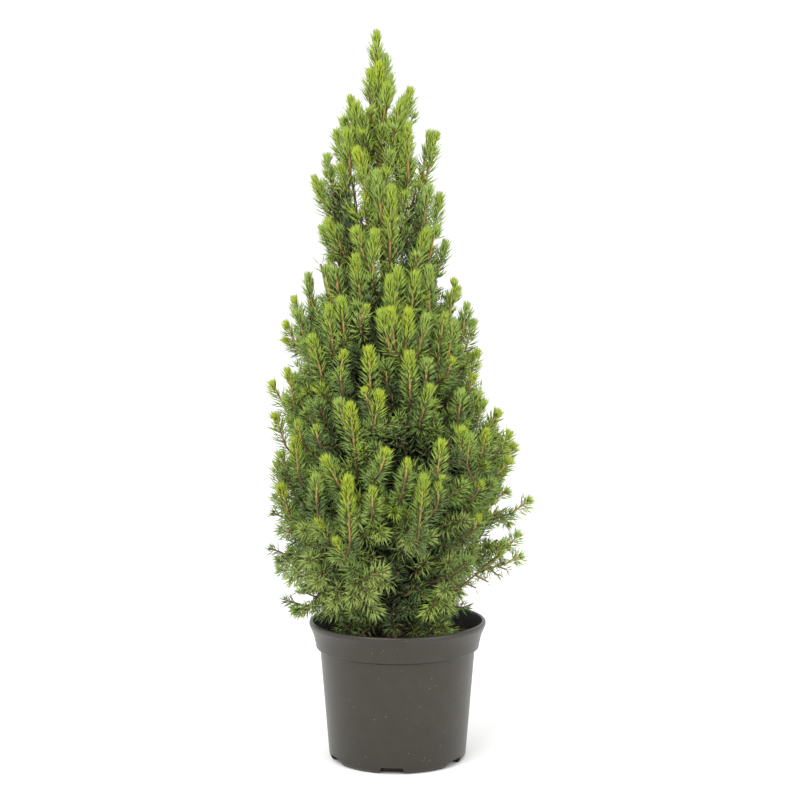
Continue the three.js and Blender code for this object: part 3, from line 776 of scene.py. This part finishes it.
def growing_way(tip, kind):
    """The direction of a shoot that ends at tip. Long shoots stand up, and low short ones face out."""
    middle, _ = crown_at(tip[2])
    outward = np.array((tip[0] - middle, tip[1], 0)) / max(1e-6, math.hypot(tip[0] - middle, tip[1]))
    height = tip[2] / MM
    rises = (0.0, 0.3, 0.9, 1.7, 2.6, 4.5) if kind == "long" else (-0.35, -0.1, 0.15, 0.7, 1.4, 4.0)
    upward = np.interp(height, (150, 190, 240, 320, 450, 775), rises)
    loose = 0.14 if kind == "long" else 0.26
    way = outward * min(1.0, share_out(tip) + 0.1) + (0, 0, upward) + rng.normal(0, loose, 3)
    return way / np.linalg.norm(way)


rng = np.random.default_rng(29)
spray_depth, young_depth = 0.98, 0.97  # shares of the crown's half-width
young_lean = 0.14  # how far a young shoot leans in towards its foot, for its height
tips = []
for across, height, *way in low_sprays:
    tips.append((on_front(across, height, spray_depth), "spray", np.array(way) / np.linalg.norm(way)))
given_shoots = []
for look, places in young_shoots.items():
    for across, height, foot_across, foot_height in places:
        tip = on_front(across, height, young_depth)
        leans_in = young_lean * (height - foot_height) * MM if tip[1] < -2 * MM else 0
        foot = np.array((foot_across * MM, tip[1] + leans_in, foot_height * MM))
        given_shoots.append(("long", tip, foot, look))
taken = np.array([tip for tip, _, _ in tips] + [tip for _, tip, _, _ in given_shoots])
for look, places in low_branches.items():
    for place in np.array(places) * MM:
        given_shoots.append(("branch", place[:3], place[3:], look))


def add_tip(point, kind, apart):
    """Keep a shoot's tip where no other one is near."""
    global taken
    if np.min(np.linalg.norm(taken - point, axis=1)) > apart * MM:
        tips.append((point, kind, None))
        taken = np.vstack([taken, point])


heights = np.linspace(152, 750, 500) * MM
girth = np.array([crown_at(h)[1] for h in heights])
next_round = 2.39996  # radians round the crown from one shoot to the next


def levels(count):
    """The heights of so many shoots, closer together where the crown is wider."""
    return np.interp(np.linspace(0, 1, count), np.cumsum(girth) / girth.sum(), heights)


# The rest of the crown's surface is covered evenly, and looser layers of short shoots stand inside it.
for kind, count, apart in (("long", 300, 30), ("short", 1400, 14)):
    for index, level in enumerate(levels(count)):
        azimuth = index * next_round + rng.uniform(-0.3, 0.3)
        height = level + rng.uniform(-8, 8) * MM
        if kind == "long":
            if math.sin(azimuth) > -0.3 and height > 250 * MM:
                add_tip(surface_point(azimuth, height, 0.98 - rng.uniform(0, 0.08)), kind, apart)
        else:
            inset = np.interp(height / MM, (150, 330, 480, 775), (12, 15, 18, 9)) + rng.uniform(-4, 8)
            point = surface_point(azimuth, height, 1 - inset * MM / crown_at(height)[1])
            if not is_open(point):
                add_tip(point, kind, np.interp(height / MM, (150, 300, 450, 600), (17, 15, 13.5, 13)))
for depth, count in ((0.68, 640), (0.46, 460), (0.24, 260)):
    for index, level in enumerate(levels(count)):
        if level < 520 * MM:
            height = level + rng.uniform(-8, 8) * MM
            point = surface_point(index * next_round, height, depth + rng.uniform(-0.06, 0.04))
            add_tip(point, "inner", 12)

length_of = {"long": (46, 62), "spray": (34, 44), "short": (26, 40), "inner": (22, 34)}
leader_height, leader_length = 740, 56
shoots = []
for tip, kind, way in tips:
    way = growing_way(tip, kind) if way is None else way
    length = rng.uniform(*length_of[kind]) * MM
    if tip[2] > leader_height * MM:
        way, length = np.array((-0.02, 0.02, 1.0)) + rng.normal(0, 0.03, 3), leader_length * MM
    look = "candle" if rng.uniform() < 0.7 else "green"
    shoots.append({"kind": kind, "tip": tip, "way": way, "foot": tip - way * length, "look": look})
for kind, tip, foot, look in given_shoots:
    way = (tip - foot) / np.linalg.norm(tip - foot)
    shoots.append({"kind": kind, "tip": tip, "way": way, "foot": foot, "look": look})

wood_points = [trunk_line[trunk_line[:, 2] > 560 * MM][::12]]
wood_ways = [np.tile((0, 0, 1.0), (len(wood_points[0]), 1))]
for limb in limbs:
    wood_points.append(limb["line"][8::2])
    wood_ways.append(np.gradient(limb["line"], axis=0)[8::2])
wood_points = np.concatenate(wood_points)
wood_ways = unit(np.concatenate(wood_ways))
for shoot in shoots:
    shoot["far"] = np.min(np.linalg.norm(wood_points - shoot["foot"], axis=1))
shoots.sort(key=lambda shoot: shoot["far"])


def joining(start, start_way, end, end_way, steps):
    """A line that leaves start along its wood and reaches end along the shoot there."""
    reach = np.linalg.norm(end - start)
    near, far = start + start_way * 0.3 * reach, end - end_way * 0.4 * reach
    t = np.linspace(0, 1, steps)[:, None]
    return start * (1 - t) ** 3 + near * 3 * t * (1 - t) ** 2 + far * 3 * t**2 * (1 - t) + end * t**3


# Each shoot's foot joins the nearest wood that it can grow on from, the innermost shoots first. Wood that
# lies off to the side, ahead of the shoot or above its foot counts as farther. A short shoot that would cross
# a gap isn't grown.
for shoot in shoots:
    gap = shoot["foot"] - wood_points
    distance = np.linalg.norm(gap, axis=1)
    aligned = np.sum(gap * wood_ways, axis=1) / np.maximum(distance, 1e-6)
    behind = gap @ shoot["way"] / np.maximum(distance, 1e-6)
    middle, _ = crown_at(shoot["foot"][2])
    round_about = np.array((-shoot["foot"][1], shoot["foot"][0] - middle, 0))
    sideways_on = np.abs(gap @ round_about) / np.maximum(distance * np.linalg.norm(round_about), 1e-9)
    effort = distance * (1.9 - 0.9 * aligned) * (2.6 - 1.6 * behind) * (1 + 1.4 * sideways_on**2)
    effort += 1.1 * np.maximum(0, wood_points[:, 2] + 8 * MM - shoot["foot"][2])
    best = int(np.argmin(distance if shoot["kind"] == "branch" else effort))
    old = joining(wood_points[best], wood_ways[best], shoot["foot"], shoot["way"], 9)
    if shoot["kind"] in ("short", "inner") and np.any(within(old, sky_gaps, 0, 0.8)):
        continue
    shoot["old"] = old
    stem_end = shoot["tip"] - shoot["way"] * (2 if shoot["kind"] == "branch" else 7.5) * MM
    shoot["new"] = np.linspace(shoot["foot"], stem_end, 6)
    ways = np.gradient(old, axis=0)
    ways /= np.maximum(np.linalg.norm(ways, axis=1, keepdims=True), 1e-9)
    grown, grown_ways = old[3:], ways[3:]
    if shoot["kind"] == "branch":
        grown, grown_ways = np.vstack([grown, shoot["new"]]), np.vstack([grown_ways, [shoot["way"]] * 6])
    wood_points = np.vstack([wood_points, grown])
    wood_ways = np.vstack([wood_ways, grown_ways])

shoots = [shoot for shoot in shoots if "old" in shoot]

# Short side shoots stand on both sides of every twig.
side_twigs = []
most_side_twigs = 4
for shoot in shoots:
    line = np.concatenate([shoot["old"][2:], shoot["new"][1:3]])
    length = np.linalg.norm(np.diff(line, axis=0), axis=1).sum()
    spacing = (26 if shoot["kind"] in ("inner", "branch") else 17) * MM
    count = int(length / spacing)
    across = np.cross(shoot["way"], (0, 0, 1.0)) + rng.normal(0, 0.3, 3)
    across /= np.linalg.norm(across)
    for index in range(min(count, most_side_twigs)):
        start = line[min(len(line) - 1, int((index + 0.6) / count * len(line)))]
        hand = 1 if index % 2 else -1
        way = shoot["way"] * 0.9 + across * hand * rng.uniform(0.6, 1.0) + rng.normal(0, 0.25, 3)
        way /= np.linalg.norm(way)
        end = start + way * rng.uniform(18, 32) * (0.6 if shoot["kind"] == "branch" else 1) * MM
        limit = np.interp(end[2] / MM, (150, 330, 480), (0.98, 0.92, 0.84))
        inside = 0.45 < share_out(end) < limit and end[2] > 140 * MM and not is_open(end)
        if inside or shoot["kind"] in ("spray", "branch"):
            side_twigs.append({"new": np.linspace(start, end, 4), "tip": end})

# The inner twig brown is the old twig brown darkened. It is painted shade for twigs deep in the crown.
twig_looks = {
    "young": ("young stem", "c9b36c", 0.7),
    "ripe": ("ripe stem", "a9824b", 0.7),
    "old": ("old twig", "6c5435", 0.8),
    "inner": ("inner twig", "463726", 0.85),
}
twig_parts = {twig_tone: [] for twig_tone in twig_looks}


def add_stem(twig_tone, line, first, last, sides, thick=1.0):
    """Add a tapering stem to the twigs of one tone, with its first and last radius in mm. The tones are ages, and
    inner, which is painted shade.
    """
    twig_parts[twig_tone].append(tube(line, np.linspace(first, last, len(line)) * thick * MM, sides))


for shoot in shoots:
    old, new = shoot["old"], shoot["new"]
    out = share_out(shoot["foot"])
    # Twigs deep in the crown take the inner brown, which is painted shade.
    twig_tone = "old" if out > 0.62 or shoot["tip"][2] > 500 * MM else "inner"
    if shoot["kind"] == "branch":
        add_stem("old", old, 1.6, 1.3, 5)
        add_stem("ripe" if shoot["look"] in ("tip", "fresh") else "old", new, 1.2, 0.8, 5)
    elif shoot["kind"] == "long":
        thick = np.interp(shoot["tip"][2] / MM, (400, 560), (1.0, 1.25))
        add_stem("old", old, 1.25, 1.15, 5, thick)
        add_stem("ripe", new[:3], 1.2, 1.1, 5, thick)
        add_stem("young", new[2:], 1.1, 0.85, 5)
    else:
        add_stem(twig_tone, old, 1.1, 0.9, 4)
        ripe = out > 0.7 and shoot["kind"] != "spray" and rng.uniform() < 0.5
        add_stem("ripe" if ripe else twig_tone, new[::2], 0.95, 0.7, 4)
for twig in side_twigs:
    # Side twigs deep in the crown take the inner brown as painted shade.
    add_stem("old" if share_out(twig["tip"]) > 0.7 else "inner", twig["new"], 0.7, 0.4, 3)

masses = [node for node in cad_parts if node.startswith("foliage_")]
for twig_tone, look in twig_looks.items():
    twig_bark, _ = plain_material(*look)
    twigs = mesh_object(f"{twig_tone}_twigs", *joined(twig_parts[twig_tone]), twig_bark)
    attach(twigs, "root")
    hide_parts(*masses)

# --------------------------------------------------------------------------------------------------
# Needles: short stiff spruce needles set in a spiral round every twig, spread wide on old wood and drawn
# together into a bright brush at a young shoot's tip. Each spray has one tone, by its age and place.
# --------------------------------------------------------------------------------------------------

golden_turn = math.pi * (3 - math.sqrt(5))
needle_lots = {}


def set_needles(tone, place, tangent, spoke, angle, length, width, droop):
    """Needles that leave a stem at an angle to its tangent, and curve forward along it or droop."""
    way = tangent * np.cos(angle)[:, None] + spoke * np.sin(angle)[:, None]
    back = spoke * np.cos(angle)[:, None] - tangent * np.sin(angle)[:, None]
    lot = needle_lots.setdefault(tone, [[], [], [], []])
    lot[0].append(place + spoke * 0.4 * MM)
    lot[1].append(way + (0, 0, 0.1 - 0.25 * droop))
    lot[2].append(back * (1 - droop) + np.array((0, 0, droop)))
    wide = width * rng.uniform(0.9, 1.1, len(place))
    lot[3].append(np.stack([wide, wide, length], 1) * MM)


def sideways(tangent):
    """Two directions square to each tangent."""
    across = unit(np.cross(tangent, (0.13, 0.97, 0.2)))
    return across, np.cross(tangent, across)


def needled(line, first, last, per_mm, tone, lean, length, width=1.5, droop=0.0):
    """Needles on a line between two shares of it. lean is their angle to the stem in degrees, and length
    their length in mm, each from first to last."""
    steps = np.linalg.norm(np.diff(line, axis=0), axis=1)
    along = np.concatenate([[0], np.cumsum(steps)])
    count = max(3, int(along[-1] / MM * (last - first) * per_mm))
    share = np.linspace(first, last, count) + rng.uniform(-0.5, 0.5, count) * (last - first) / count
    at = np.clip(share, 0, 1) * along[-1]
    place = np.stack([np.interp(at, along, line[:, i]) for i in range(3)], 1)
    tangents = np.gradient(line, axis=0)
    tangent = unit(np.stack([np.interp(at, along, tangents[:, i]) for i in range(3)], 1))
    across, up = sideways(tangent)
    turn = np.arange(count) * golden_turn + rng.uniform(0, 2 * math.pi) + rng.normal(0, 0.15, count)
    part = (share - first) / (last - first)
    angle = np.radians(lean[0] + (lean[1] - lean[0]) * part + rng.normal(0, 9, count))
    spoke = across * np.cos(turn)[:, None] + up * np.sin(turn)[:, None]
    long = (length[0] + (length[1] - length[0]) * part) * rng.uniform(0.85, 1.1, count)
    set_needles(tone, place, tangent, spoke, angle, long, width, droop)


def brush(end, way, count, widest, reach, tone, width=1.5):
    """The blunt tuft at the end of a shoot: needles from along the stem to widest degrees off it."""
    tangent = np.tile(way / np.linalg.norm(way), (count, 1))
    across, up = sideways(tangent)
    turn = np.arange(count) * golden_turn + rng.uniform(0, 2 * math.pi)
    spoke = across * np.cos(turn)[:, None] + up * np.sin(turn)[:, None]
    angle = np.radians(widest) * np.sqrt((np.arange(count) + 0.5) / count)
    long = reach * (1 - 0.12 * angle / np.radians(widest)) * rng.uniform(0.85, 1.1, count)
    place = end - tangent * rng.uniform(0, 2.5, (count, 1)) * MM
    set_needles(tone, place, tangent, spoke, angle, long, width, 0.0)


# The near-black dark tone is painted shade, set inside the crown, low at its foot and in the shade places.
tones = {
    "tip bright": "a5b638",
    "tip": "9bb041",
    "fresh": "96ad50",
    "mid": "829a4b",
    "mid cool": "98aa5b",
    "deep": "677c48",
    "dark": "454f34",
}
paler = {"tip": "tip bright", "fresh": "tip", "mid": "fresh", "mid cool": "fresh"}
paler |= {"deep": "mid", "dark": "deep"}


def body_tone(point, out):
    """The tone of a spray by how far out it stands, how high it is, and chance. The dark tone inside the crown,
    low at its foot and in the shade places is painted shade.
    """
    chance = rng.uniform()
    height = point[2] / MM
    # Painted shade: a spray in one of the shade places gets the near-black dark tone.
    if point[1] < 0 and within(point, painted_shade_places):
        return "dark" if chance < 0.75 else "deep"
    if height > 560:
        return "tip" if chance < np.interp(height, (600, 640), (0.15, 0.45)) else "fresh"
    # Deep inside the crown the dark tone is painted shade.
    if out < 0.66:
        return "dark" if chance < 0.7 else "deep"
    # Low at the crown's foot the dark tone is painted shade.
    if height < 172:
        return "dark" if chance < 0.4 else ("deep" if chance < 0.85 else "mid")
    if height < 280:
        light = 0.55 if point[0] < -20 * MM else 0.35
        return "mid cool" if chance < light else ("deep" if chance < 0.85 else "mid")
    if out < 0.82 and height < 480:
        return "deep" if chance < 0.6 else "mid"
    return "fresh" if chance < 0.3 else ("mid" if chance < 0.75 else "deep")


# Each kind of shoot has its own coats of needles. Only the last stretch of an old twig is still green, and
# the needles droop towards the foot of the crown. Heights and lengths are in mm.
low_height, spire_height, leading_height = 265, 480, 690
green_length = 75
for shoot in shoots:
    old, new = shoot["old"], shoot["new"]
    out = share_out(shoot["tip"])
    height = shoot["tip"][2] / MM
    old_length = np.linalg.norm(np.diff(old, axis=0), axis=1).sum()
    bare = max(0.1, 1 - green_length * MM / max(old_length, 1e-6))
    old_tone = body_tone(shoot["foot"], share_out(shoot["foot"]) * 0.93)
    droop = float(np.interp(height, (220, 330), (0.75, 0.0)))
    if shoot["kind"] == "long":
        top = height > spire_height
        bright = "tip" if rng.uniform() < (0.7 if top else 0.25) else "tip bright"
        body = "fresh" if height > 340 or rng.uniform() < 0.65 else "mid"
        second = bright if rng.uniform() < 0.5 else "tip"
        wide, close, long = (48, 27, 17) if top else (62, 34, 15.5)
        if height > leading_height:
            wide, close, long = 46, 24, 20
        if shoot["look"] == "green":
            bright, second, body = "fresh", "fresh", "mid"
        if shoot["look"] == "tuft":
            needled(new, 0.4, 1.0, 3.2, bright, (42, 24), (10, 9), 1.2)
            needled(new, 0.0, 0.6, 1.9, "mid", (66, 58), (14.5, 13), 1.25)
            brush(new[-1], shoot["way"], 18, 28, 8, bright, 1.2)
        else:
            half_way, first = (wide + close) / 2, 0.12 if top else 0.0
            hair = "mid" if height > 600 else "deep"
            needled(new, first, 0.6, 1.4, body, (wide, half_way), (long, long - 0.5), 1.3)
            needled(new, 0.0, 0.7, 0.6, hair, (wide + 5, close + 8), (long + 0.5, long), 1.1)
            needled(new, 0.4, 0.95, 2.7, second, (half_way, close), (long - 0.5, 13.5), 1.2)
            needled(new, 0.75, 1.0, 3.4, bright, (close, close - 12), (13, 10.5), 1.2)
            brush(new[-1], shoot["way"], 30, 28, 10, bright, 1.2)
        old_tone = "fresh" if top else ("deep" if rng.uniform() < 0.6 else "mid")
        needled(old, 0.0, 1.0, 1.5, old_tone, (66, wide), (long, long), 1.25)
    elif shoot["kind"] == "inner":
        needled(new, 0.0, 1.0, 0.95, body_tone(shoot["tip"], min(out, 0.8)), (74, 45), (16, 15), 1.9, droop)
        # The old needles of an inner shoot take the dark tone as painted shade.
        needled(old, bare, 1.0, 0.4, "dark", (76, 66), (16, 16), 1.9)
    elif shoot["kind"] == "spray":
        tone = "mid cool" if rng.uniform() < 0.8 else "fresh"
        needled(new, 0.0, 1.0, 1.7, tone, (72, 48), (17, 16), 1.3, droop)
        brush(new[-1], shoot["way"], 16, 62, 14, tone, 1.3)
        needled(old, bare, 1.0, 1.1, "mid cool", (76, 70), (16.5, 17), 1.3, droop)
    elif shoot["kind"] == "branch":
        tone = shoot["look"]
        if tone == "dark":
            needled(new, 0.1, 1.0, 1.1, "dark", (64, 38), (14, 11), 1.1, 0.25)
            needled(new, 0.1, 1.0, 1.2, "mid", (64, 38), (14, 11), 1.1, 0.25)
            brush(new[-1], shoot["way"], 8, 36, 9, "deep", 1.1)
            needled(old, 0.3, 1.0, 1.4, "mid", (70, 62), (14, 14), 1.1, 0.3)
        elif tone == "bare":
            needled(new, 0.2, 1.0, 0.9, "mid", (68, 46), (13, 12), 1.1, 0.5)
            brush(new[-1], shoot["way"], 5, 36, 9, "mid", 1.1)
        else:
            body = {"mid": "mid cool", "fresh": "fresh", "tip": "fresh"}[tone]
            needled(new, 0.0, 0.7, 2.3, body, (68, 58), (16, 15), 1.2, 0.25)
            needled(new, 0.5, 1.0, 2.6, tone, (58, 38), (15, 13), 1.2, 0.15)
            brush(new[-1], shoot["way"], 16, 38, 10.5, tone, 1.2)
            needled(old, 0.0, 1.0, 1.6, "mid", (74, 68), (16, 16), 1.2, 0.4)
    elif height < low_height:
        tone = body_tone(shoot["tip"], out)
        needled(new, 0.0, 0.8, 1.2, tone, (76, 66), (16.5, 16), 1.3, droop)
        needled(new, 0.7, 1.0, 1.9, tone, (68, 44), (16, 14), 1.3, droop)
        needled(old, bare, 1.0, 0.8, old_tone, (78, 70), (16, 16), 1.3, droop)
    else:
        tone = body_tone(shoot["tip"], out)
        wide = float(np.interp(height, (400, 540), (72, 44)))
        end_tone = paler[tone] if rng.uniform() < 0.5 else tone
        needled(new, 0.0, 0.75, 1.35, tone, (wide, wide - 10), (15, 15), 1.25, droop)
        needled(new, 0.7, 1.0, 2.0, end_tone, (wide - 12, min(42, wide - 16)), (14.5, 13.5), 1.25, droop)
        if rng.uniform() < 0.3 or height > spire_height:
            brush(new[-1], shoot["way"], 14, 30, 8.5, "tip" if height < spire_height else end_tone, 1.3)
        else:
            brush(new[-1], shoot["way"], 10, 66, 12.5, end_tone, 1.25)
        needled(old, bare, 1.0, 0.8, old_tone, (76, 62), (15, 15), 1.25, droop)
for twig in side_twigs:
    tone = body_tone(twig["tip"], share_out(twig["tip"]))
    droop = float(np.interp(twig["tip"][2] / MM, (220, 330), (0.6, 0.0)))
    needled(twig["new"], 0.15, 1.0, 1.1, tone, (72, 42), (14.5, 12.5), 1.25, droop)
for limb in limbs:
    if limb["line"][-1][2] > 520 * MM:
        needled(limb["line"], 0.4, 1.0, 1.5, "fresh", (60, 42), (16, 15), 1.25)
        brush(limb["line"][-1], np.array((0, 0, 1.0)), 16, 50, 12, "fresh", 1.25)
    else:
        # The inner stretch of a low limb has dark needles, which are painted shade.
        needled(limb["line"], 0.3, 0.7, 0.8, "dark", (75, 70), (14, 14), 1.5)
        needled(limb["line"], 0.65, 1.0, 1.8, "deep", (74, 60), (15, 15), 1.3)
        needled(limb["line"], 0.7, 1.0, 1.8, "mid", (66, 44), (15.5, 14), 1.25)
        end_way = limb["line"][-1] - limb["line"][-2]
        brush(limb["line"][-1], end_way / np.linalg.norm(end_way), 20, 44, 11, "mid", 1.25)

# Spruce needles have a thin coat of wax, which dulls their gloss to a soft sheen.
most_needles = 32000  # in one piece, at six triangles each
for tone, colour in tones.items():
    green, green_shader = plain_material(f"{tone} needles", colour, 0.55)
    green_shader.inputs["Specular IOR Level"].default_value = 0.24
    places, ways, bends, sizes = (np.concatenate(lot) for lot in needle_lots[tone])
    needle_middles = places + unit(ways) * sizes[:, 2:] * 0.55
    kept = ~within(needle_middles, sky_gaps, 2, 0.8)
    places, ways, bends, sizes = places[kept], ways[kept], bends[kept], sizes[kept]
    for first in range(0, len(places), most_needles):
        some = slice(first, first + most_needles)
        name = f"needles_{tone.replace(' ', '_')}_{first // most_needles + 1}"
        needles = scattered(name, places[some], ways[some], bends[some], sizes[some], needle_shape, green)
        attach(needles, "root")
        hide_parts(*masses)

# A bud of brown scales ends each low shoot.
bud_scales, _ = plain_material("bud scales", "8f6a45", 0.6)
budded = []
for shoot in shoots:
    if shoot["kind"] == "spray" or (shoot["kind"] == "short" and shoot["tip"][2] / MM < low_height):
        budded.append(shoot)
places = np.array([shoot["new"][-1] for shoot in budded])
ways = np.array([shoot["way"] for shoot in budded])
sizes = np.tile((2.6 * MM, 2.6 * MM, 4.5 * MM), (len(budded), 1))
buds = scattered("buds", places, ways, any_way(len(budded)), sizes, needle_shape, bud_scales)
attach(buds, "root")
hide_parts(*masses)

bpy.data.objects.remove(needle_shape)
bpy.data.objects.remove(crumb_shape)

# --------------------------------------------------------------------------------------------------
# Studio: a plain pale floor, broad soft lights and the camera a little above the pot's rim.
# --------------------------------------------------------------------------------------------------

paper, _ = plain_material("pale paper", "fbfbfa", 0.95)
floor_corners = [(-6, -6, 0), (6, -6, 0), (6, 9, 0), (-6, 9, 0)]
floor = mesh_object("floor", floor_corners, [(0, 1, 2, 3)], paper)
floor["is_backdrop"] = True


plant_middle = Vector((0, 0, 0.4))


def soft_light(name, place, size, power):
    """A square soft light that faces the middle of the plant."""
    lamp = bpy.data.lights.new(name, "AREA")
    lamp.energy = power
    lamp.size = size
    thing = bpy.data.objects.new(name, lamp)
    thing.location = place
    thing.rotation_euler = (plant_middle - Vector(place)).to_track_quat("-Z", "Y").to_euler()
    bpy.context.scene.collection.objects.link(thing)
    thing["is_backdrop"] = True


soft_light("key light", (-1.2, -1.9, 2.6), 2.2, 62)
soft_light("fill light", (2.2, -1.8, 1.6), 2.4, 34)

world = bpy.data.worlds.new("white room")
world.use_nodes = True
background = world.node_tree.nodes["Background"]
background.inputs["Color"].default_value = (1, 1, 1, 1)
background.inputs["Strength"].default_value = 1.1
bpy.context.scene.world = world
bpy.context.scene.view_settings.view_transform = "Standard"

focal_length = 79.65  # mm
looks_down = 4.97  # degrees
lens = bpy.data.cameras.new("camera")
lens.lens = focal_length
camera = bpy.data.objects.new("camera", lens)
camera.location = view_place
camera.rotation_euler = (math.radians(90 - looks_down), 0, 0)
bpy.context.scene.collection.objects.link(camera)
bpy.context.scene.camera = camera

sizes = {"frame": [list(corner) for corner in frame_size], "object": [list(corner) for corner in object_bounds()]}
